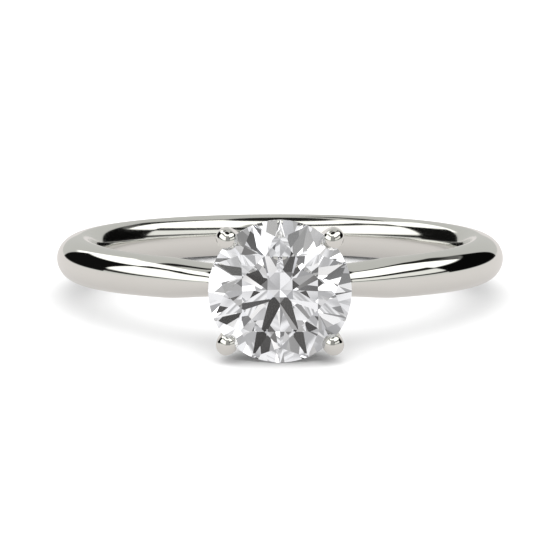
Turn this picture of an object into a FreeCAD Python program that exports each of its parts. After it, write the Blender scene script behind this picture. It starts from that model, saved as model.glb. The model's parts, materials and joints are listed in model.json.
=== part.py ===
import FreeCAD, Part

import math
import os

from FreeCAD import Vector

# An engagement ring, in millimetres. The origin is the centre of the finger hole, +Z is the axis of
# the finger, and the stone faces -Y. The head is drawn along +Z first, with its distances measured
# out from the ring's centre, and is then turned to face -Y.

# Shank: a plain round band that narrows to its shoulders and dips under the head.
FINGER_RADIUS = 8.675
SHANK_OUTER_RADIUS = 10.65
SHANK_CROWN_RADIUS = 9.5
SHANK_INNER_BULGE = 0.075
OUTER_ROUNDNESS = 2.0
INNER_ROUNDNESS = 2.5
HEAD_WIDTH = 1.5
SHOULDER_SWELL = 0.38
SHOULDER_SWELL_ANGLES = (16, 34)
SIDE_SWELL = 0.24
SIDE_SWELL_ANGLES = (20, 90)
BACK_RELIEF = 0.12
BACK_RELIEF_ANGLES = (90, 180)
SADDLE_DEPTH = 0.65
SADDLE_ANGLES = (3, 19)
FINGER_CUT_LENGTH = 10
SECTION_POINTS = 32
SECTION_ANGLES = (0, 6, 11, 16, 20, 25, 30, 36, 45, 60, 78, 96, 114, 132, 150, 168, 180)

# Stone: a round brilliant of one carat, with eight equal sides.
GIRDLE_RADIUS = 3.25
GIRDLE_THICKNESS = 0.2
GIRDLE_HEIGHT = 13.1
TABLE_RATIO = 0.57
STAR_LENGTH = 0.5
LOWER_HALF_LENGTH = 0.77
CROWN_ANGLE = 34.5
PAVILION_ANGLE = 40.75
GIRDLE_STEPS = 6
SIDES = 8
SIDE_TURN = 360 / SIDES
HALF_TURN = SIDE_TURN / 2

# Claws: four round wires that leave the collet, turn up beside the stone and hook over its edge.
CLAW_RADIUS = 0.46
CLAW_REACH = 3.45
CLAW_BEND = 1.5
CLAW_POST_RISE = 0.22
CLAW_HOOK_RADIUS = 0.2
CLAW_HOOK_TURN = 60
CLAW_HOOK_AXIS_GAP = 0.05
CLAW_KNEE_DROP = 1.0
CLAW_FOOT_REACH = 1.0
CLAW_SLOPE = 55.4
CLAWS = {
    "claw_upper_right": 45,
    "claw_upper_left": 135,
    "claw_lower_left": 225,
    "claw_lower_right": 315,
}

# Gallery rail: a wire ring let into the inside of the claws.
RAIL_RADIUS = 2.53
RAIL_WIRE_RADIUS = 0.24
RAIL_DROP = 1.14

# Base collet and peg: the foot of the head, pinned through the shank.
PEG_RADIUS = 0.45
COLLET_FOOT_RADIUS = 0.68
COLLET_RIM_RADIUS = 1.25
COLLET_RIM_TOP = 10.8
COLLET_LIP = 0.12
COLLET_CUP_BOTTOM = 10.1
COLLET_CUP_RADIUS = 0.84


def smooth_step(value, span):
    """Rises smoothly from 0 to 1 over a span given as (start, end)."""
    start, end = span
    t = min(max((value - start) / (end - start), 0.0), 1.0)
    return t * t * (3 - 2 * t)


def shank_width(angle):
    """Width along the finger at an angle from the head, in degrees."""
    return (
        HEAD_WIDTH
        + SHOULDER_SWELL * smooth_step(angle, SHOULDER_SWELL_ANGLES)
        + SIDE_SWELL * smooth_step(angle, SIDE_SWELL_ANGLES)
        - BACK_RELIEF * smooth_step(angle, BACK_RELIEF_ANGLES)
    )


def shank_outer_radius(angle):
    return SHANK_OUTER_RADIUS - SADDLE_DEPTH * (1 - smooth_step(angle, SADDLE_ANGLES))


def shank_section(turn):
    """The band's closed outline in the plane through the finger axis, at a turn from the head."""
    from_head = min(turn, 360 - turn)
    half_width = shank_width(from_head) / 2
    rise = shank_outer_radius(from_head) - SHANK_CROWN_RADIUS
    drop = SHANK_CROWN_RADIUS - (FINGER_RADIUS - SHANK_INNER_BULGE)
    heading = math.radians(turn - 90)
    points = []
    for i in range(SECTION_POINTS):
        t = 2 * math.pi * i / SECTION_POINTS
        outside = math.sin(t) >= 0
        power = 2 / (OUTER_ROUNDNESS if outside else INNER_ROUNDNESS)
        z = half_width * math.copysign(abs(math.cos(t)) ** power, math.cos(t))
        depth = (rise if outside else -drop) * abs(math.sin(t)) ** power
        radius = SHANK_CROWN_RADIUS + depth
        points.append(Vector(radius * math.cos(heading), radius * math.sin(heading), z))
    curve = Part.BSplineCurve()
    curve.interpolate(points, PeriodicFlag=True, Parameters=list(range(SECTION_POINTS + 1)))
    return Part.Wire([curve.toShape()])


def head_to_front(shape):
    """Turns a shape drawn with the head's axis along +Z, so that the axis points along -Y."""
    turned = shape.copy()
    turned.rotate(Vector(0, 0, 0), Vector(1, 0, 0), 90)
    return turned


def turned_solid(profile):
    """A solid of revolution about Z from a list of (radius, height) points."""
    points = [Vector(r, 0, z) for r, z in profile]
    face = Part.Face(Part.makePolygon(points + points[:1]))
    return face.revolve(Vector(0, 0, 0), Vector(0, 0, 1), 360)


def polar(radius, degrees, height):
    angle = math.radians(degrees)
    return Vector(radius * math.cos(angle), radius * math.sin(angle), height)


def height_on_plane(plane_points, x, y):
    """The height of the plane through three points above a place."""
    a, b, c = plane_points
    normal = (b - a).cross(c - a)
    return a.z - (normal.x * (x - a.x) + normal.y * (y - a.y)) / normal.z


def brilliant():
    """The stone's radii and heights, from its proportions."""
    crown_slope = math.tan(math.radians(CROWN_ANGLE))
    pavilion_slope = math.tan(math.radians(PAVILION_ANGLE))
    flat_share = math.cos(math.radians(HALF_TURN))
    crown_base = GIRDLE_HEIGHT + GIRDLE_THICKNESS / 2
    pavilion_base = GIRDLE_HEIGHT - GIRDLE_THICKNESS / 2
    table_radius = TABLE_RATIO * GIRDLE_RADIUS
    table_edge = table_radius * flat_share
    star_radius = table_edge + STAR_LENGTH * (GIRDLE_RADIUS - table_edge)
    lower_radius = (1 - LOWER_HALF_LENGTH) * GIRDLE_RADIUS
    return {
        "crown_base": crown_base,
        "pavilion_base": pavilion_base,
        "table_radius": table_radius,
        "table_height": crown_base + (GIRDLE_RADIUS - table_radius) * crown_slope,
        "star_radius": star_radius,
        "star_height": crown_base + (GIRDLE_RADIUS - star_radius * flat_share) * crown_slope,
        "lower_radius": lower_radius,
        "lower_height": pavilion_base - (GIRDLE_RADIUS - lower_radius * flat_share) * pavilion_slope,
        "culet_height": pavilion_base - GIRDLE_RADIUS * pavilion_slope,
    }


def diamond():
    """A round brilliant: table, stars, kites, halves and mains, and a faceted girdle."""
    cut = brilliant()
    crown_base, pavilion_base = cut["crown_base"], cut["pavilion_base"]
    table_radius, table_height = cut["table_radius"], cut["table_height"]
    star_radius, star_height = cut["star_radius"], cut["star_height"]
    lower_radius, lower_height = cut["lower_radius"], cut["lower_height"]
    culet = Vector(0, 0, cut["culet_height"])

    mains = [HALF_TURN + SIDE_TURN * k for k in range(SIDES)]
    facets = [[polar(table_radius, main, table_height) for main in mains]]
    for main in mains:
        following = main + SIDE_TURN
        star_before = polar(star_radius, main - HALF_TURN, star_height)
        star_after = polar(star_radius, main + HALF_TURN, star_height)
        lower_before = polar(lower_radius, main - HALF_TURN, lower_height)
        lower_after = polar(lower_radius, main + HALF_TURN, lower_height)
        corner = polar(table_radius, main, table_height)
        next_corner = polar(table_radius, following, table_height)
        crown_foot = polar(GIRDLE_RADIUS, main, crown_base)
        pavilion_foot = polar(GIRDLE_RADIUS, main, pavilion_base)
        facets.append([corner, star_after, next_corner])
        facets.append([corner, star_before, crown_foot, star_after])
        facets.append([culet, lower_after, pavilion_foot, lower_before])
        for side, star, lower in ((-1, star_before, lower_before), (1, star_after, lower_after)):
            far = main + side * HALF_TURN
            crown_plane = (star, crown_foot, polar(GIRDLE_RADIUS, far, crown_base))
            pavilion_plane = (lower, pavilion_foot, polar(GIRDLE_RADIUS, far, pavilion_base))
            upper_edge = []
            lower_edge = []
            for step in range(GIRDLE_STEPS + 1):
                place = polar(GIRDLE_RADIUS, main + side * HALF_TURN * step / GIRDLE_STEPS, 0)
                upper_edge.append(place + Vector(0, 0, height_on_plane(crown_plane, place.x, place.y)))
                lower_edge.append(place + Vector(0, 0, height_on_plane(pavilion_plane, place.x, place.y)))
            facets.append([star] + upper_edge)
            facets.append([lower] + lower_edge)
            for step in range(GIRDLE_STEPS):
                upper_pair = [upper_edge[step], upper_edge[step + 1]]
                lower_pair = [lower_edge[step + 1], lower_edge[step]]
                facets.append(upper_pair + lower_pair)
    faces = [Part.Face(Part.makePolygon(points + points[:1])) for points in facets]
    shell = Part.makeShell(faces)
    shell.sewShape()
    return Part.makeSolid(shell)


def stone_seat():
    """The round space that the stone's rim needs, which is burred out of each claw."""
    cut = brilliant()
    return turned_solid([
        (0, cut["star_height"]),
        (cut["star_radius"], cut["star_height"]),
        (GIRDLE_RADIUS, cut["crown_base"]),
        (GIRDLE_RADIUS, cut["pavilion_base"]),
        (cut["lower_radius"], cut["lower_height"]),
        (0, cut["lower_height"]),
    ])


def claw_hook(post_top):
    """The claw's end: the wire turned inwards over the stone's edge, and rounded off."""
    axis_at = post_top - Vector(CLAW_HOOK_RADIUS, 0, 0)
    wire = Part.Face(Part.Wire([Part.makeCircle(CLAW_RADIUS, post_top, Vector(0, 0, 1))]))
    half_box = 2 * CLAW_RADIUS
    corner = axis_at + Vector(CLAW_HOOK_AXIS_GAP, -half_box, -half_box)
    outer_side = wire.common(Part.makeBox(half_box, 2 * half_box, 2 * half_box, corner))
    bent = outer_side.revolve(axis_at, Vector(0, -1, 0), CLAW_HOOK_TURN)
    turn = math.radians(CLAW_HOOK_TURN)
    end = axis_at + Vector(math.cos(turn), 0, math.sin(turn)) * CLAW_HOOK_RADIUS
    return bent.fuse(Part.makeSphere(CLAW_RADIUS, end))


def claw_wire():
    """One claw along +X before it is fitted: a slanting leg, a bend, a post and a hooked end."""
    slope = math.radians(CLAW_SLOPE)
    knee_height = GIRDLE_HEIGHT - CLAW_KNEE_DROP
    tangent = CLAW_BEND * math.tan(slope / 2)
    leg_run = (CLAW_REACH - CLAW_FOOT_REACH) / math.sin(slope)
    knee = Vector(CLAW_REACH, 0, knee_height)
    along_leg = Vector(math.sin(slope), 0, math.cos(slope))
    foot = knee - along_leg * leg_run
    bend_start = knee - along_leg * tangent
    bend_end = knee + Vector(0, 0, tangent)
    bend_centre = bend_end - Vector(CLAW_BEND, 0, 0)
    outward = (knee - bend_centre).normalize()
    bend_middle = bend_centre + outward * CLAW_BEND
    post_top = Vector(CLAW_REACH, 0, GIRDLE_HEIGHT + CLAW_POST_RISE)
    path = Part.Wire([
        Part.LineSegment(foot, bend_start).toShape(),
        Part.Arc(bend_start, bend_middle, bend_end).toShape(),
        Part.LineSegment(bend_end, post_top).toShape(),
    ])
    profile = Part.Wire([Part.makeCircle(CLAW_RADIUS, foot, along_leg)])
    wire = path.makePipeShell([profile], True, False)
    return wire.fuse(claw_hook(post_top)).removeSplitter()


def gallery_rail():
    centre = Vector(0, 0, GIRDLE_HEIGHT - RAIL_DROP)
    return Part.makeTorus(RAIL_RADIUS, RAIL_WIRE_RADIUS, centre)


def collet_blank():
    """The collet's outer shape, without its cup: a foot that flares to a rounded rim."""
    foot_bottom = SHANK_CROWN_RADIUS
    foot_top = SHANK_OUTER_RADIUS - SADDLE_DEPTH + COLLET_LIP
    rim_bottom = COLLET_RIM_TOP - 2.5 * COLLET_LIP
    return turned_solid([
        (0, foot_bottom),
        (COLLET_FOOT_RADIUS, foot_bottom),
        (COLLET_FOOT_RADIUS, foot_top),
        (COLLET_RIM_RADIUS, rim_bottom),
        (COLLET_RIM_RADIUS, COLLET_RIM_TOP - COLLET_LIP),
        (COLLET_RIM_RADIUS - COLLET_LIP, COLLET_RIM_TOP),
        (0, COLLET_RIM_TOP),
    ])


def collet_cup():
    """The hollow that keeps the collet clear of the stone's point."""
    return turned_solid([
        (0, COLLET_CUP_BOTTOM),
        (PEG_RADIUS / 3, COLLET_CUP_BOTTOM),
        (COLLET_CUP_RADIUS, COLLET_RIM_TOP + 0.001),
        (0, COLLET_RIM_TOP + 0.001),
    ])


def finger_space():
    return Part.makeCylinder(FINGER_RADIUS, FINGER_CUT_LENGTH, Vector(0, 0, -FINGER_CUT_LENGTH / 2))


def shank():
    turns = list(SECTION_ANGLES) + [360 - a for a in reversed(SECTION_ANGLES[1:-1])]
    band = Part.makeLoft([shank_section(turn) for turn in turns], True, False, True)
    return band.cut(finger_space())


def save(shape, node):
    solids = shape.Solids
    if len(solids) != 1 or not shape.isValid():
        raise RuntimeError(node + " is not one valid solid")
    solids[0].exportStep(os.path.join("parts", node + ".step"))
    print(node, round(solids[0].Volume, 4), "mm3")


os.makedirs("parts", exist_ok=True)

peg_hole = Part.makeCylinder(PEG_RADIUS, COLLET_CUP_BOTTOM, Vector(0, 0, 0))
whole_shank = shank()
peg = head_to_front(peg_hole).cut(finger_space())
collet = head_to_front(collet_blank().cut(collet_cup()).cut(peg_hole)).cut(whole_shank)

save(whole_shank.cut(head_to_front(peg_hole)), "shank")
save(peg, "head_peg")
save(collet, "base_collet")
save(head_to_front(gallery_rail()), "gallery_rail")
fitted_claw = claw_wire().cut(stone_seat()).cut(gallery_rail()).cut(collet_blank())
for name, direction in CLAWS.items():
    claw = fitted_claw.copy()
    claw.rotate(Vector(0, 0, 0), Vector(0, 0, 1), direction)
    save(head_to_front(claw), name)
save(head_to_front(diamond()), "diamond")
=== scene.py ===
import json
import math
from collections import namedtuple

import bmesh
import bpy
from mathutils import Matrix, Vector


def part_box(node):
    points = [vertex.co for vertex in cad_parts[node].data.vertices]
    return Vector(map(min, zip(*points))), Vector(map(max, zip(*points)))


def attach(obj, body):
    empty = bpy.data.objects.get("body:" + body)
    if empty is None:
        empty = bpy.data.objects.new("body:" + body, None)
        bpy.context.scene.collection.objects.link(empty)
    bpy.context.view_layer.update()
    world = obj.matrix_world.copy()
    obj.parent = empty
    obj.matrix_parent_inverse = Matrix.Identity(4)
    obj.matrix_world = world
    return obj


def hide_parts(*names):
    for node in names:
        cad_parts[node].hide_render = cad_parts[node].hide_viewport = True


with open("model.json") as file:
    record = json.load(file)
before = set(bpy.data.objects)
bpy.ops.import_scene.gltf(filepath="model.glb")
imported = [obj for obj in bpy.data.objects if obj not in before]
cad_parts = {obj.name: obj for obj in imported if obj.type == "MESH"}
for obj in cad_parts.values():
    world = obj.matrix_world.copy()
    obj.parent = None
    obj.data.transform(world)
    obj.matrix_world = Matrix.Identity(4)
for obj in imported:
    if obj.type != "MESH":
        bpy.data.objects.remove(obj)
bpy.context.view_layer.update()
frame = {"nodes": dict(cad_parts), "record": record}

# A solitaire ring lying on a white table, in metres. Its finger hole is centred on the origin with
# its axis along +Z, and the stone faces -Y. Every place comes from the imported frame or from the
# ring's own proportions, which are given in millimetres below.
MM = 0.001

FINGER_RADIUS = frame["record"]["mounts"][0]["dims"]["r_mm"]
SHANK_OUTER_RADIUS = 10.65
SHANK_CROWN_RADIUS = 9.5
SHANK_INNER_BULGE = 0.075
OUTER_ROUNDNESS = 2.0
INNER_ROUNDNESS = 2.5
WALL_EDGE_SOFTNESS = 0.012
HEAD_WIDTH = 1.5
SHOULDER_SWELL = 0.38
SHOULDER_SWELL_ANGLES = (16, 34)
SIDE_SWELL = 0.24
SIDE_SWELL_ANGLES = (20, 90)
BACK_RELIEF = 0.12
BACK_RELIEF_ANGLES = (90, 180)
SADDLE_DEPTH = 0.65
SADDLE_ANGLES = (3, 19)
FINGER_SIDE_DOME_ANGLES = (12, 40)
SHANK_RINGS = 600
SHANK_RING_POINTS = 96

GIRDLE_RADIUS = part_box("diamond")[1].x / MM
GIRDLE_THICKNESS = 0.2
GIRDLE_HEIGHT = 13.1

# The seat burred out of each claw: how far it reaches in from the girdle, and its rise over run
# along the stone's crown and pavilion.
SEAT_REACH = 0.77
SEAT_CROWN_SLOPE = 0.8557
SEAT_PAVILION_SLOPE = 0.8813

CLAW_RADIUS = 0.46
CLAW_REACH = 3.45
CLAW_BEND = 1.5
CLAW_POST_RISE = 0.22
CLAW_HOOK_RADIUS = 0.2
CLAW_HOOK_TURN = 60
CLAW_KNEE_DROP = 1.0
CLAW_FOOT_REACH = 1.0
CLAW_SLOPE = 55.4
CLAW_LEG_STEPS = 6
CLAW_BEND_STEPS = 24
CLAW_POST_STEPS = 4
CLAW_RING_POINTS = 64
CLAW_HOOK_ROWS = 48
CLAW_HOOK_ROW_POINTS = 96
CLAWS = {
    "claw_upper_right": 45,
    "claw_upper_left": 135,
    "claw_lower_left": 225,
    "claw_lower_right": 315,
}

RAIL_RADIUS = 2.53
RAIL_WIRE_RADIUS = 0.24
RAIL_DROP = 1.14

PEG_RADIUS = 0.45
PEG_BEVEL = 0.03
PEG_RING_POINTS = 64
COLLET_FOOT_RADIUS = 0.68
COLLET_RIM_RADIUS = 1.25
COLLET_RIM_TOP = 10.8
COLLET_LIP = 0.12
COLLET_CUP_BOTTOM = 10.1
COLLET_CUP_RADIUS = 0.84
COLLET_EDGE_EASE = 0.02
COLLET_RIM_STEPS = 8

# The stone: a ray inside it is wholly mirrored where the true share is above WHOLE_MIRROR, and its
# outside keeps FIRST_SHINE of its true reflection.
DIAMOND_IOR = 2.417
WHOLE_MIRROR = 0.5
FIRST_SHINE = 0.4

WHITE_GOLD_COLORS = ((0.80, 0.80, 0.775), (0.83, 0.828, 0.805))
DIAMOND_COLORS = ((0.985, 0.987, 0.995), (1, 1, 1))
CARD_COLORS = ((0.965, 0.965, 0.965), (0.98, 0.98, 0.98))

# Texture scales, in waves per metre.
METAL_CLOUD = 420.0
METAL_GRAIN = 9000.0
DIAMOND_CLOUD = 300.0
CARD_FIBRE = 900.0

# The side against the finger is finished a little softer than the rest.
FINGER_SIDE_START, FINGER_SIDE_END = 9.25, 9.5
FINGER_SIDE_ROUGHNESS = 0.065
POLISH_ROUGHNESS = 0.018
CLOUD_ROUGHNESS = 0.015
GRAIN_ROUGHNESS = 0.02
GRAIN_STRENGTH = 0.04
GRAIN_HEIGHT = 0.000002

HEAD_TO_FRONT = Matrix.Rotation(math.radians(90), 4, "X")


# ---------------------------------------------------------------- mesh helpers

def smooth_step(value, span):
    """Rises smoothly from 0 to 1 over a span given as (start, end)."""
    start, end = span
    t = min(max((value - start) / (end - start), 0.0), 1.0)
    return t * t * (3 - 2 * t)


def grid_object(name, rows, closed_rows=True, caps=False):
    """A mesh from equal rings of points in millimetres. Each ring is a closed loop."""
    count = len(rows[0])
    points = [tuple(c * MM for c in p) for row in rows for p in row]
    faces = []
    for i in range(len(rows) if closed_rows else len(rows) - 1):
        a = i * count
        b = (i + 1) % len(rows) * count
        for j in range(count):
            k = (j + 1) % count
            faces.append((a + j, b + j, b + k, a + k))
    if caps:
        faces.append(tuple(range(count)))
        faces.append(tuple((len(rows) - 1) * count + j for j in reversed(range(count))))
    mesh = bpy.data.meshes.new(name)
    mesh.from_pydata(points, [], faces)
    tidy_mesh(mesh)
    piece = bpy.data.objects.new(name, mesh)
    bpy.context.scene.collection.objects.link(piece)
    return piece


def tidy_mesh(mesh):
    """Merges doubled points and turns every face outwards."""
    work = bmesh.new()
    work.from_mesh(mesh)
    bmesh.ops.remove_doubles(work, verts=work.verts, dist=1e-8)
    bmesh.ops.dissolve_degenerate(work, edges=work.edges, dist=1e-9)
    bmesh.ops.recalc_face_normals(work, faces=work.faces)
    work.to_mesh(mesh)
    work.free()


def lathe(name, profile, steps=128):
    """Turns a profile of (radius, height) points, which starts and ends on the axis, about Z."""
    rows = []
    for radius, height in profile:
        ring = []
        for j in range(steps):
            angle = 2 * math.pi * j / steps
            ring.append((radius * math.cos(angle), radius * math.sin(angle), height))
        rows.append(ring)
    return grid_object(name, rows, closed_rows=False)


def carve(piece, tool, operation="DIFFERENCE", keep_tool=False):
    """Applies an exact boolean with another object, which is then removed."""
    cut = piece.modifiers.new("cut", "BOOLEAN")
    cut.operation = operation
    cut.solver = "EXACT"
    cut.object = tool
    graph = bpy.context.evaluated_depsgraph_get()
    mesh = bpy.data.meshes.new_from_object(piece.evaluated_get(graph))
    piece.modifiers.clear()
    piece.data = mesh
    if not keep_tool:
        bpy.data.objects.remove(tool)


def copy_of(piece, name):
    twin = piece.copy()
    twin.data = piece.data.copy()
    twin.name = name
    bpy.context.scene.collection.objects.link(twin)
    return twin


def finish_piece(piece, node, material, crease=28):
    """Turns a piece into a part of the ring: smooth shading, its material, and its place."""
    piece.data.shade_smooth()
    piece.data.set_sharp_from_angle(angle=math.radians(crease))
    piece.data.materials.clear()
    piece.data.materials.append(material)
    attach(piece, "root")
    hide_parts(node)


# ---------------------------------------------------------------- the ring's pieces

def shank_width(angle):
    return (
        HEAD_WIDTH
        + SHOULDER_SWELL * smooth_step(angle, SHOULDER_SWELL_ANGLES)
        + SIDE_SWELL * smooth_step(angle, SIDE_SWELL_ANGLES)
        - BACK_RELIEF * smooth_step(angle, BACK_RELIEF_ANGLES)
    )


def shank_outer_radius(angle):
    return SHANK_OUTER_RADIUS - SADDLE_DEPTH * (1 - smooth_step(angle, SADDLE_ANGLES))


def shank_ring(turn, steps):
    """The band's outline at a turn from the head: an oval outside, and inside flatter near the head."""
    from_head = min(turn, 360 - turn)
    half_width = shank_width(from_head) / 2
    rise = shank_outer_radius(from_head) - SHANK_CROWN_RADIUS
    dome = smooth_step(from_head, FINGER_SIDE_DOME_ANGLES)
    inner_power = 2 / (INNER_ROUNDNESS + (OUTER_ROUNDNESS - INNER_ROUNDNESS) * dome)
    drop = SHANK_CROWN_RADIUS - (FINGER_RADIUS - SHANK_INNER_BULGE * (1 - dome))
    heading = math.radians(turn - 90)
    ring = []
    for i in range(steps):
        t = 2 * math.pi * i / steps
        outside = math.sin(t) >= 0
        power = 2 / OUTER_ROUNDNESS if outside else inner_power
        z = half_width * math.copysign(abs(math.cos(t)) ** power, math.cos(t))
        depth = (rise if outside else -drop) * abs(math.sin(t)) ** power
        radius = SHANK_CROWN_RADIUS + depth
        above_wall = radius - FINGER_RADIUS
        eased = (above_wall + math.sqrt(above_wall ** 2 + 4 * WALL_EDGE_SOFTNESS ** 2)) / 2
        if not outside:
            radius = FINGER_RADIUS + eased
        ring.append((radius * math.cos(heading), radius * math.sin(heading), z))
    return ring


def make_shank():
    """The band without its peg hole, which the peg fills."""
    rings = [shank_ring(360 * i / SHANK_RINGS, SHANK_RING_POINTS) for i in range(SHANK_RINGS)]
    return grid_object("shank_band", rings)


def arc_points(centre, radius, start, end, steps):
    """Points of an arc in the (radius, height) plane, with angles in degrees."""
    points = []
    for i in range(steps + 1):
        angle = math.radians(start + (end - start) * i / steps)
        points.append((centre[0] + radius * math.cos(angle), centre[1] + radius * math.sin(angle)))
    return points


def make_peg():
    """The peg's shaft. Its inner end follows the finger hole's wall and has a small bevel."""
    face_radius = PEG_RADIUS - PEG_BEVEL
    levels = [(PEG_RADIUS * share, 0.0) for share in (0.0, 0.35, 0.7)]
    levels += [(face_radius + PEG_BEVEL * share, PEG_BEVEL * share) for share in (0.0, 0.35, 0.7, 1.0)]
    levels += [(PEG_RADIUS * share, None) for share in (1.0, 0.5, 0.0)]
    rings = []
    for radius, lift_from_wall in levels:
        ring = []
        for j in range(PEG_RING_POINTS):
            angle = 2 * math.pi * j / PEG_RING_POINTS
            x, y = radius * math.cos(angle), radius * math.sin(angle)
            height = COLLET_CUP_BOTTOM
            if lift_from_wall is not None:
                height = math.sqrt(FINGER_RADIUS ** 2 - x ** 2) + lift_from_wall
            ring.append((x, y, height))
        rings.append(ring)
    peg = grid_object("peg_shaft", rings, closed_rows=False)
    peg.data.transform(HEAD_TO_FRONT)
    return peg


def collet_profile():
    """The collet's outer outline, from the axis out to its foot and up to its rounded rim."""
    foot_top = SHANK_OUTER_RADIUS - SADDLE_DEPTH + COLLET_LIP
    rim_low = COLLET_RIM_TOP - 2.5 * COLLET_LIP
    profile = [(0, SHANK_CROWN_RADIUS), (COLLET_FOOT_RADIUS, SHANK_CROWN_RADIUS)]
    profile.append((COLLET_FOOT_RADIUS, foot_top - 2.5 * COLLET_EDGE_EASE))
    profile.append((COLLET_FOOT_RADIUS + COLLET_EDGE_EASE, foot_top))
    profile.append((COLLET_RIM_RADIUS - COLLET_EDGE_EASE, rim_low - COLLET_EDGE_EASE / 2))
    profile.append((COLLET_RIM_RADIUS, rim_low + 2 * COLLET_EDGE_EASE))
    corner = (COLLET_RIM_RADIUS - COLLET_LIP, COLLET_RIM_TOP - COLLET_LIP)
    profile += arc_points(corner, COLLET_LIP, 0, 90, COLLET_RIM_STEPS)
    return profile


def make_collet():
    """The collet with its cup, and without its peg hole, which the peg fills."""
    cup = [
        (COLLET_CUP_RADIUS + 2 * COLLET_EDGE_EASE, COLLET_RIM_TOP),
        (COLLET_CUP_RADIUS, COLLET_RIM_TOP - COLLET_EDGE_EASE),
        (PEG_RADIUS / 3, COLLET_CUP_BOTTOM),
        (0, COLLET_CUP_BOTTOM),
    ]
    collet = lathe("collet_cup", collet_profile() + cup)
    collet.data.transform(HEAD_TO_FRONT)
    return collet


def collet_blank():
    return lathe("collet_blank", collet_profile() + [(0, COLLET_RIM_TOP)])


def torus(name, radius, wire_radius, height, steps=192, wire_steps=48):
    rings = []
    for i in range(steps):
        heading = 2 * math.pi * i / steps
        ring = []
        for j in range(wire_steps):
            t = 2 * math.pi * j / wire_steps
            r = radius + wire_radius * math.cos(t)
            ring.append((r * math.cos(heading), r * math.sin(heading),
                         height + wire_radius * math.sin(t)))
        rings.append(ring)
    return grid_object(name, rings)


def make_rail(name="gallery_wire"):
    return torus(name, RAIL_RADIUS, RAIL_WIRE_RADIUS, GIRDLE_HEIGHT - RAIL_DROP)


def claw_path():
    """Centre line of a claw along +X, from its foot to the top of its post, with directions."""
    slope = math.radians(CLAW_SLOPE)
    along = Vector((math.sin(slope), 0, math.cos(slope)))
    knee = Vector((CLAW_REACH, 0, GIRDLE_HEIGHT - CLAW_KNEE_DROP))
    foot = knee - along * ((CLAW_REACH - CLAW_FOOT_REACH) / math.sin(slope))
    tangent = CLAW_BEND * math.tan(slope / 2)
    bend_centre = knee + Vector((-CLAW_BEND, 0, tangent))
    top = Vector((CLAW_REACH, 0, GIRDLE_HEIGHT + CLAW_POST_RISE))
    leg_end = knee - along * tangent
    stations = [(foot.lerp(leg_end, i / CLAW_LEG_STEPS), along) for i in range(CLAW_LEG_STEPS)]
    for i in range(CLAW_BEND_STEPS):
        turn = slope * (1 - i / (CLAW_BEND_STEPS - 1))
        outward = Vector((math.cos(turn), 0, -math.sin(turn)))
        stations.append((bend_centre + outward * CLAW_BEND, Vector((math.sin(turn), 0, math.cos(turn)))))
    post_start = stations[-1][0]
    for i in range(1, CLAW_POST_STEPS + 1):
        stations.append((post_start.lerp(top, i / CLAW_POST_STEPS), Vector((0, 0, 1))))
    return stations


def hook_point(normal):
    """The place on the hooked claw end where the surface faces along a normal."""
    axis_at = Vector((CLAW_REACH - CLAW_HOOK_RADIUS, 0, GIRDLE_HEIGHT + CLAW_POST_RISE))
    limit = math.radians(CLAW_HOOK_TURN)
    turn = min(max(math.atan2(normal.z, normal.x), 0.0), limit)
    choices = []
    for angle in (0.0, turn, limit):
        centre = axis_at + Vector((math.cos(angle), 0, math.sin(angle))) * CLAW_HOOK_RADIUS
        choices.append((centre.dot(normal), centre))
    return max(choices, key=lambda c: c[0])[1] + normal * CLAW_RADIUS


def make_claw_blank():
    """One claw along +X before it is fitted: a bent wire joined to its hooked end."""
    rings = []
    for centre, along in claw_path():
        side = Vector((0, 1, 0))
        out = side.cross(along)
        ring = []
        for j in range(CLAW_RING_POINTS):
            t = 2 * math.pi * j / CLAW_RING_POINTS
            ring.append(centre + (out * math.cos(t) + side * math.sin(t)) * CLAW_RADIUS)
        rings.append(ring)
    post = grid_object("claw_blank", rings, closed_rows=False, caps=True)
    rows = []
    for i in range(CLAW_HOOK_ROWS + 1):
        tip_angle = math.pi * i / CLAW_HOOK_ROWS
        flat = math.sin(tip_angle)
        row = []
        for j in range(CLAW_HOOK_ROW_POINTS):
            t = 2 * math.pi * j / CLAW_HOOK_ROW_POINTS
            row.append(hook_point(Vector((flat * math.cos(t), flat * math.sin(t), math.cos(tip_angle)))))
        rows.append(row)
    hook = grid_object("claw_hook", rows, closed_rows=False)
    carve(post, hook, "UNION")
    return post


def stone_seat():
    """The round space burred out of the claws for the stone's rim."""
    top = GIRDLE_HEIGHT + GIRDLE_THICKNESS / 2
    bottom = GIRDLE_HEIGHT - GIRDLE_THICKNESS / 2
    inner = GIRDLE_RADIUS - SEAT_REACH
    crown_end = top + SEAT_REACH * SEAT_CROWN_SLOPE
    pavilion_end = bottom - SEAT_REACH * SEAT_PAVILION_SLOPE
    return lathe("stone_seat", [
        (0, crown_end),
        (inner, crown_end),
        (GIRDLE_RADIUS, top),
        (GIRDLE_RADIUS, bottom),
        (inner, pavilion_end),
        (0, pavilion_end),
    ], steps=256)


def make_claws():
    blank = make_claw_blank()
    carve(blank, stone_seat())
    carve(blank, make_rail("rail_tool"))
    carve(blank, collet_blank())
    claws = {}
    for node, direction in CLAWS.items():
        claw = copy_of(blank, node.replace("claw", "claw_wire"))
        turn = Matrix.Rotation(math.radians(direction), 4, "Z")
        claw.data.transform(HEAD_TO_FRONT @ turn)
        claws[node] = claw
    bpy.data.objects.remove(blank)
    return claws


# ---------------------------------------------------------------- node-tree helpers

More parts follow.
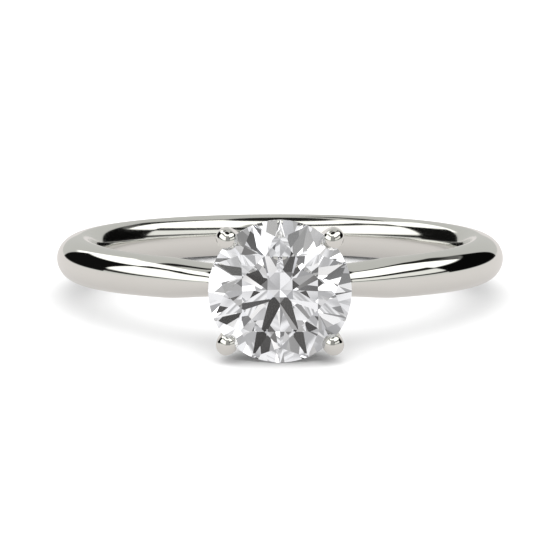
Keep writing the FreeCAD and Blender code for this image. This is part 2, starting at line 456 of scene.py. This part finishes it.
class Value:
    """A number in a node tree that can be added, multiplied and compared like a plain one."""

    def __init__(self, tree, socket):
        self.tree = tree
        self.socket = socket

    def operate(self, operation, *others):
        node = self.tree.nodes.new("ShaderNodeMath")
        node.operation = operation
        for slot, value in zip(node.inputs, (self, *others)):
            if isinstance(value, Value):
                self.tree.links.new(value.socket, slot)
            else:
                slot.default_value = value
        return Value(self.tree, node.outputs[0])

    def __add__(self, other):
        return self.operate("ADD", other)

    def __sub__(self, other):
        return self.operate("SUBTRACT", other)

    def __mul__(self, other):
        return self.operate("MULTIPLY", other)

    def largest(self, other):
        return self.operate("MAXIMUM", other)

    def rises(self, start, end):
        """A smooth step from 0 at start to 1 at end."""
        node = self.tree.nodes.new("ShaderNodeMapRange")
        node.interpolation_type = "SMOOTHSTEP"
        self.tree.links.new(self.socket, node.inputs["Value"])
        for name, value in (("From Min", start), ("From Max", end)):
            node.inputs[name].default_value = value
        return Value(self.tree, node.outputs["Result"])

    def toward(self, other, share):
        """Blends to another number by a share from 0 to 1."""
        return self * (share * -1.0 + 1.0) + share * other


def constant(tree, number):
    node = tree.nodes.new("ShaderNodeValue")
    node.outputs[0].default_value = number
    return Value(tree, node.outputs[0])


def new_tree(owner):
    owner.use_nodes = True
    owner.node_tree.nodes.clear()
    return owner.node_tree


# ---------------------------------------------------------------- light: a painted studio

# Panels of the studio, in degrees. Azimuth 0 is the camera's side and +90 is the viewer's right;
# low and high are elevations at the panel's middle, and the slopes tilt its lower and upper edges.
# Later panels cover earlier ones. A lean moves the upright edges by so much for each degree above
# LEAN_FROM.
Panel = namedtuple("Panel", "name start end low high low_slope high_slope softness brightness lean")
LEAN_FROM = 42
PANELS = (
    ("far_table", -181, 181, -95, 6, 0.0, 0.0, 1.5, 0.74, 0.0),
    ("table_edge_left", -108, -25, 6, 16, -0.08, 0.0, 1.5, 0.03, 0.0),
    ("table_edge_right", 25, 106, 6, 16, 0.08, 0.0, 1.5, 0.03, 0.0),
    ("overhead_front", -100, 100, 30, 90, 0.0, 0.0, 4.0, 1.35, 0.0),
    ("front_wall", -32, 28, -30, 54, 0.0, 0.0, 6.0, 0.33, 0.0),
    ("overhead_left", -156, -24, 28, 90, 0.1, 0.0, 2.0, 1.5, 0.0),
    ("overhead_right", 30, 146, 35, 76, -0.03, 0.0, 2.5, 1.5, -0.3),
    ("right_shade", 133, 152, 33, 60, 0.0, 0.0, 3.0, 0.13, 0.0),
    ("back_line_right", 141, 160, 40, 76, 0.0, 0.0, 2.5, 0.02, -1.1),
    ("back_right", 156, 260, 5, 76, 0.0, 0.0, 2.5, 0.585, -1.1),
    ("back_left", -260, -157, 5, 76, 0.0, 0.0, 3.0, 0.585, 1.6),
    ("back_line_left", -172, -132, 56, 65, 0.0, 0.0, 1.5, 0.02, 0.0),
    ("zenith", -181, 181, 73, 95, 0.0, 0.0, 2.0, 0.02, 0.0),
    ("left_gap", -151, -103, 5, 39, 0.0, 0.42, 1.5, 0.006, 0.0),
    ("right_gap", 97, 151, 5, 34, 0.0, 0.02, 1.5, 0.003, 0.0),
    ("left_box", -105, -22, 11, 52, -0.2, -0.04, 2.5, 1.35, 0.0),
    ("left_seam_far", -108, -79, 47, 56, 0.28, 0.28, 1.0, 0.02, 0.0),
    ("left_seam_near", -81, -20, 47, 56, -0.15, -0.15, 1.0, 0.02, 0.0),
    ("right_seam", 20, 99, 26, 38, 0.1, 0.05, 1.2, 0.02, 0.0),
    ("right_box", 30, 96, 11, 28, 0.12, 0.08, 2.0, 0.95, 0.0),
)
ROOM_BRIGHTNESS = 0.585

# A second studio, which only the rays that leave the stone see. It is apart from the first so that
# the stone's bright, grey and dark facets can be set without changing what the metal mirrors.
STONE_PANELS = (
    ("below", -181, 181, -95, -8, 0.0, 0.0, 2.0, 0.66, 0.0),
    ("below_left", -30, -9, -45, -30, 0.0, 0.0, 1.0, 1.2, 0.0),
    ("below_right", 10, 15, -30, -25, 0.0, 0.0, 1.0, 0.95, 0.0),
    ("upper_right", -9, 33, 14, 62, 0.0, 0.0, 2.0, 0.28, 0.0),
    ("upper_right_slot", 9, 15.5, 14.5, 20.5, 0.0, 0.0, 0.6, 0.05, 0.0),
    ("right_slot", 4, 15, 9.5, 14.5, 0.0, 0.0, 0.8, 0.85, 0.0),
    ("left", -181, -24, -26, 95, 0.0, 0.0, 2.0, 1.3, 0.0),
    ("upper_left", -30, -7, 10, 95, 0.0, 0.0, 2.0, 1.3, 0.0),
    ("top", -12, 8, 42, 95, 0.0, 0.0, 2.0, 1.2, 0.0),
    ("low_band", -25, 9, -9.5, -4, 0.0, 0.0, 0.8, 0.28, 0.0),
    ("camera", -22, -1, -5, 9, 0.0, 0.0, 1.0, 0.12, 0.0),
    ("camera_edge", -21.5, -14, -4, 9, 0.0, 0.0, 0.8, 0.07, 0.0),
    ("camera_above", -4, 4, 8, 15, 0.0, 0.0, 0.8, 0.2, 0.0),
    ("camera_low", -5, 5, -5.5, 0.5, 0.0, 0.0, 0.8, 0.035, 0.0),
    ("low_light", 19, 31, -16, -9, 0.0, 0.0, 1.0, 1.3, 0.0),
    ("low_light_near", 10, 25, -10, -5, 0.0, 0.0, 1.0, 0.85, 0.0),
)
STONE_BRIGHTNESS = 0.55
STONE_TINTS = ((0.975, 0.98, 1.012), (1.015, 1.0, 0.975))
STONE_MOTTLE = 0.7
STONE_MOTTLE_SCALE = 12.0
STONE_MOTTLE_SPAN = (0.35, 0.65)
STONE_FIRE_SCALE = 5.0
STONE_FIRE_SPAN = (0.3, 0.7)

WHITE = (1, 1, 1)
WORLD_TINT = (1.0, 1.0, 0.955)
OVERHEAD_BRIGHTNESS = 1.53
FRONT_BIAS = 0.22
BACKDROP_BRIGHTNESS = 1.1
# Painted reflection: the darker tone that the metal mirrors in place of the card's own white.
MIRRORED_CARD_PAINTED_TONE = (0.515, 0.495, 0.482)
FIBRE_LIFT = 1.02
# Painted light and shade: dark and light blotches that the card shows only to rays coming out of the stone.
STONE_CARD_PAINTED_SHADE = (0.29, 0.29, 0.294)
STONE_CARD_PAINTED_LIGHT = (0.62, 0.62, 0.625)
STONE_CARD_PAINTED_SCALE = 230.0
STONE_CARD_PAINTED_SPAN = (0.4, 0.6)
# Painted light: the share of the card's light given off evenly, which lightens its shadows; slight as seen,
# strong as mirrored in the metal and seen through the stone.
SEEN_PAINTED_GLOW = 0.04
PAINTED_GLOW_IN_METAL_AND_STONE = 0.65


def panel_share(panel, azimuth, elevation):
    """How much of a panel lies in a direction, from 0 to 1."""
    middle = (panel.start + panel.end) / 2
    half_soft = panel.softness / 2
    low_edge = elevation - (azimuth - middle) * panel.low_slope
    high_edge = elevation - (azimuth - middle) * panel.high_slope
    upright = azimuth
    if panel.lean:
        upright = azimuth - (elevation - LEAN_FROM).largest(0.0) * panel.lean
    inside = upright.rises(panel.start - half_soft, panel.start + half_soft)
    inside = inside * (upright.rises(panel.end - half_soft, panel.end + half_soft) * -1.0 + 1.0)
    inside = inside * low_edge.rises(panel.low - panel.softness, panel.low + panel.softness)
    return inside * (high_edge.rises(panel.high - panel.softness, panel.high + panel.softness) * -1.0 + 1.0)


def paint(panels, room, azimuth, elevation):
    """The brightness of a studio: a room with its panels painted over each other."""
    light = constant(elevation.tree, room)
    for row in panels:
        panel = Panel(*row)
        light = light.toward(panel.brightness, panel_share(panel, azimuth, elevation))
    return light


def make_world():
    """Four lights chosen by the kind of ray: mirrored, through the stone, on matte card, and seen."""
    world = bpy.data.worlds.new("studio")
    bpy.context.scene.world = world
    tree = new_tree(world)
    nodes, links = tree.nodes, tree.links
    place = nodes.new("ShaderNodeTexCoord")
    split = nodes.new("ShaderNodeSeparateXYZ")
    links.new(place.outputs["Generated"], split.inputs[0])
    x, y, z = (Value(tree, split.outputs[i]) for i in range(3))
    to_degrees = 180 / math.pi
    elevation = z.operate("ARCSINE") * to_degrees
    azimuth = x.operate("ARCTAN2", y * -1.0) * to_degrees
    light = paint(PANELS, ROOM_BRIGHTNESS, azimuth, elevation)
    through = paint(STONE_PANELS, STONE_BRIGHTNESS, azimuth, elevation)
    mottle = noise(tree, place.outputs["Generated"], STONE_MOTTLE_SCALE, 3.0).rises(*STONE_MOTTLE_SPAN)
    through = through * (mottle * (2 * STONE_MOTTLE) + (1 - STONE_MOTTLE))
    fire = noise(tree, place.outputs["Generated"], STONE_FIRE_SCALE, 2.0).rises(*STONE_FIRE_SPAN)
    stone_tint = color_blend(tree, fire, *STONE_TINTS)
    even = y * (-OVERHEAD_BRIGHTNESS * FRONT_BIAS) + OVERHEAD_BRIGHTNESS
    ray = nodes.new("ShaderNodeLightPath")
    out = nodes.new("ShaderNodeOutputWorld")
    shown = background(tree, light, WORLD_TINT)
    for other, kind in (
        (background(tree, through, stone_tint), "Is Transmission Ray"),
        (background(tree, even, WHITE), "Is Diffuse Ray"),
        (background(tree, constant(tree, BACKDROP_BRIGHTNESS), WHITE), "Is Camera Ray"),
    ):
        mix = nodes.new("ShaderNodeMixShader")
        links.new(ray.outputs[kind], mix.inputs[0])
        links.new(shown, mix.inputs[1])
        links.new(other, mix.inputs[2])
        shown = mix.outputs[0]
    links.new(shown, out.inputs["Surface"])


def background(tree, light, tint):
    """A background shader with a brightness from the node tree, and a tint or a tint socket."""
    shader = tree.nodes.new("ShaderNodeBackground")
    shade = tree.nodes.new("ShaderNodeVectorMath")
    shade.operation = "SCALE"
    if isinstance(tint, bpy.types.NodeSocket):
        tree.links.new(tint, shade.inputs[0])
    else:
        shade.inputs[0].default_value = tint
    tree.links.new(light.socket, shade.inputs["Scale"])
    tree.links.new(shade.outputs[0], shader.inputs["Color"])
    return shader.outputs[0]


# ---------------------------------------------------------------- materials

def texture_place(tree):
    return tree.nodes.new("ShaderNodeTexCoord").outputs["Object"]


def noise(tree, vector, scale, detail=4.0):
    node = tree.nodes.new("ShaderNodeTexNoise")
    node.inputs["Scale"].default_value = scale
    node.inputs["Detail"].default_value = detail
    tree.links.new(vector, node.inputs["Vector"])
    return Value(tree, node.outputs["Fac"])


def color_blend(tree, share, dark, light):
    node = tree.nodes.new("ShaderNodeMix")
    node.data_type = "RGBA"
    node.inputs["A"].default_value = (*dark, 1)
    node.inputs["B"].default_value = (*light, 1)
    tree.links.new(share.socket, node.inputs["Factor"])
    return node.outputs["Result"]


def finger_distance(tree):
    """The distance from the finger's axis."""
    split = tree.nodes.new("ShaderNodeSeparateXYZ")
    tree.links.new(texture_place(tree), split.inputs[0])
    x, y = (Value(tree, split.outputs[i]) for i in range(2))
    return (x * x + y * y).operate("SQRT")


def white_gold_material():
    """Mirror-polished white metal with a faint polishing grain."""
    material = bpy.data.materials.new("white_gold_polished")
    tree = new_tree(material)
    shader = tree.nodes.new("ShaderNodeBsdfPrincipled")
    out = tree.nodes.new("ShaderNodeOutputMaterial")
    tree.links.new(shader.outputs[0], out.inputs["Surface"])
    shader.inputs["Metallic"].default_value = 1.0
    cloud = noise(tree, texture_place(tree), METAL_CLOUD, 3.0)
    tree.links.new(color_blend(tree, cloud, *WHITE_GOLD_COLORS), shader.inputs["Base Color"])
    grain = noise(tree, texture_place(tree), METAL_GRAIN, 2.0)
    finger_side = (finger_distance(tree) * (1 / MM)).rises(FINGER_SIDE_END, FINGER_SIDE_START)
    rough = grain * GRAIN_ROUGHNESS + cloud * CLOUD_ROUGHNESS + POLISH_ROUGHNESS
    rough = rough + finger_side * FINGER_SIDE_ROUGHNESS
    tree.links.new(rough.socket, shader.inputs["Roughness"])
    bump = tree.nodes.new("ShaderNodeBump")
    bump.inputs["Strength"].default_value = GRAIN_STRENGTH
    bump.inputs["Distance"].default_value = GRAIN_HEIGHT
    tree.links.new(grain.socket, bump.inputs["Height"])
    tree.links.new(bump.outputs[0], shader.inputs["Normal"])
    return material


def diamond_material():
    """Clear diamond. A ray inside bends out through a facet or is wholly mirrored back in, and the
    outer reflection is weaker than a real stone's."""
    material = bpy.data.materials.new("diamond_clear")
    tree = new_tree(material)
    nodes, links = tree.nodes, tree.links
    cloud = noise(tree, texture_place(tree), DIAMOND_CLOUD, 2.0)
    color = color_blend(tree, cloud, *DIAMOND_COLORS)
    bend = nodes.new("ShaderNodeBsdfRefraction")
    bend.inputs["IOR"].default_value = DIAMOND_IOR
    bend.inputs["Roughness"].default_value = 0.0
    links.new(color, bend.inputs["Color"])
    mirror = nodes.new("ShaderNodeBsdfGlossy")
    mirror.inputs["Roughness"].default_value = 0.0
    links.new(color, mirror.inputs["Color"])
    fresnel = nodes.new("ShaderNodeFresnel")
    fresnel.inputs["IOR"].default_value = DIAMOND_IOR
    inside = nodes.new("ShaderNodeNewGeometry").outputs["Backfacing"]
    shine = Value(tree, fresnel.outputs[0])
    whole = shine.operate("GREATER_THAN", WHOLE_MIRROR)
    share = (shine * FIRST_SHINE).toward(whole, Value(tree, inside))
    mix = nodes.new("ShaderNodeMixShader")
    out = nodes.new("ShaderNodeOutputMaterial")
    links.new(share.socket, mix.inputs[0])
    links.new(bend.outputs[0], mix.inputs[1])
    links.new(mirror.outputs[0], mix.inputs[2])
    links.new(mix.outputs[0], out.inputs["Surface"])
    return material


def floor_material():
    """Matte white card with a little painted glow that lightens its shadows. Mirrored in metal it shows a
    darker painted tone, and through the stone painted blotches of light and shade; both of these glow
    strongly and so show little shadow.
    """
    material = bpy.data.materials.new("white_card")
    tree = new_tree(material)
    nodes, links = tree.nodes, tree.links
    fibre = noise(tree, texture_place(tree), CARD_FIBRE, 5.0)
    ray = nodes.new("ShaderNodeLightPath")
    # The card as seen glows a little: painted light that lightens its shadows.
    seen = card(tree, color_blend(tree, fibre, *CARD_COLORS), SEEN_PAINTED_GLOW)
    # Painted light and shade for the rays that come out of the stone.
    painted_blotches = noise(tree, texture_place(tree), STONE_CARD_PAINTED_SCALE, 2.0).rises(*STONE_CARD_PAINTED_SPAN)
    # Rays from the metal see a darker painted reflection tone, and rays from the stone painted light and
    # shade.
    for share, dark, light, kind in (
        (fibre, MIRRORED_CARD_PAINTED_TONE, [c * FIBRE_LIFT for c in MIRRORED_CARD_PAINTED_TONE], "Is Glossy Ray"),
        (painted_blotches, STONE_CARD_PAINTED_SHADE, STONE_CARD_PAINTED_LIGHT, "Is Transmission Ray"),
    ):
        shade = color_blend(tree, share, dark, light)
        mix = nodes.new("ShaderNodeMixShader")
        links.new(ray.outputs[kind], mix.inputs[0])
        links.new(seen, mix.inputs[1])
        links.new(card(tree, shade, PAINTED_GLOW_IN_METAL_AND_STONE), mix.inputs[2])
        seen = mix.outputs[0]
    out = nodes.new("ShaderNodeOutputMaterial")
    links.new(seen, out.inputs["Surface"])
    return material


def card(tree, color, glow):
    """Matte card with a share of its light given off evenly: a painted glow that lightens its shadows."""
    matte = tree.nodes.new("ShaderNodeBsdfDiffuse")
    even = tree.nodes.new("ShaderNodeEmission")
    even.inputs["Strength"].default_value = OVERHEAD_BRIGHTNESS
    tree.links.new(color, matte.inputs["Color"])
    tree.links.new(color, even.inputs["Color"])
    mix = tree.nodes.new("ShaderNodeMixShader")
    mix.inputs[0].default_value = glow
    tree.links.new(matte.outputs[0], mix.inputs[1])
    tree.links.new(even.outputs[0], mix.inputs[2])
    return mix.outputs[0]


# ---------------------------------------------------------------- floor and camera

STEEPEST_TILT = 20
TILT_STEPS = 40
HEAD_SIDE = -0.005
FLOOR_REACH = 3.0


def resting_tilt(points):
    """The tilt, and the height at Y = 0, of the plane that the ring rests on from below."""
    low, high = 0.0, math.radians(STEEPEST_TILT)
    for _ in range(TILT_STEPS):
        tilt = (low + high) / 2
        slope = math.tan(tilt)
        front = min((p for p in points if p.y < HEAD_SIDE), key=lambda p: p.z - p.y * slope)
        back = min((p for p in points if p.y > 0), key=lambda p: p.z - p.y * slope)
        if front.z - front.y * slope < back.z - back.y * slope:
            low = tilt
        else:
            high = tilt
    return tilt, front.z - front.y * math.tan(tilt)


def make_floor(ring_points):
    tilt, height = resting_tilt(ring_points)
    mesh = bpy.data.meshes.new("table_card")
    corners = [(x * FLOOR_REACH, y * FLOOR_REACH) for x, y in ((-1, -1), (1, -1), (1, 1), (-1, 1))]
    mesh.from_pydata([(x, y, height + y * math.tan(tilt)) for x, y in corners], [], [(0, 1, 2, 3)])
    floor = bpy.data.objects.new("table_card", mesh)
    bpy.context.scene.collection.objects.link(floor)
    mesh.materials.append(floor_material())


# The camera: its distance in metres, its height above the band's plane and its dip below the origin
# in degrees, and its lens in millimetres.
CAMERA_DISTANCE = 0.25
CAMERA_ELEVATION = 6.8
CAMERA_DIP = 0.2523
CAMERA_LENS = 336.4


def make_camera():
    camera = bpy.data.objects.new("camera", bpy.data.cameras.new("camera"))
    bpy.context.scene.collection.objects.link(camera)
    camera.data.lens = CAMERA_LENS
    camera.data.sensor_width = 36
    camera.data.clip_start = 0.01
    camera.data.clip_end = 10
    rise = math.radians(CAMERA_ELEVATION)
    camera.location = Vector((0, -math.cos(rise), math.sin(rise))) * CAMERA_DISTANCE
    camera.rotation_euler = (math.radians(90 - CAMERA_ELEVATION - CAMERA_DIP), 0, 0)
    bpy.context.scene.camera = camera


def set_light_paths():
    cycles = bpy.context.scene.cycles
    cycles.max_bounces = 32
    cycles.glossy_bounces = 24
    cycles.transmission_bounces = 32
    cycles.diffuse_bounces = 3
    cycles.caustics_reflective = False
    cycles.caustics_refractive = False
    bpy.context.scene.view_settings.view_transform = "Standard"
    bpy.context.scene.view_settings.look = "None"


# ---------------------------------------------------------------- assembly

metal = white_gold_material()
shank = make_shank()
collet = make_collet()
peg = make_peg()
carve(collet, shank, keep_tool=True)
rail = make_rail()
rail.data.transform(HEAD_TO_FRONT)
claws = make_claws()

finish_piece(shank, "shank", metal)
finish_piece(peg, "head_peg", metal)
finish_piece(collet, "base_collet", metal)
finish_piece(rail, "gallery_rail", metal)
for node, claw in claws.items():
    finish_piece(claw, node, metal)

diamond = frame["nodes"]["diamond"]
diamond.data.materials.clear()
diamond.data.materials.append(diamond_material())

ring_points = [v.co.copy() for piece in (shank, diamond, *claws.values()) for v in piece.data.vertices]
make_world()
make_floor(ring_points)
make_camera()
set_light_paths()
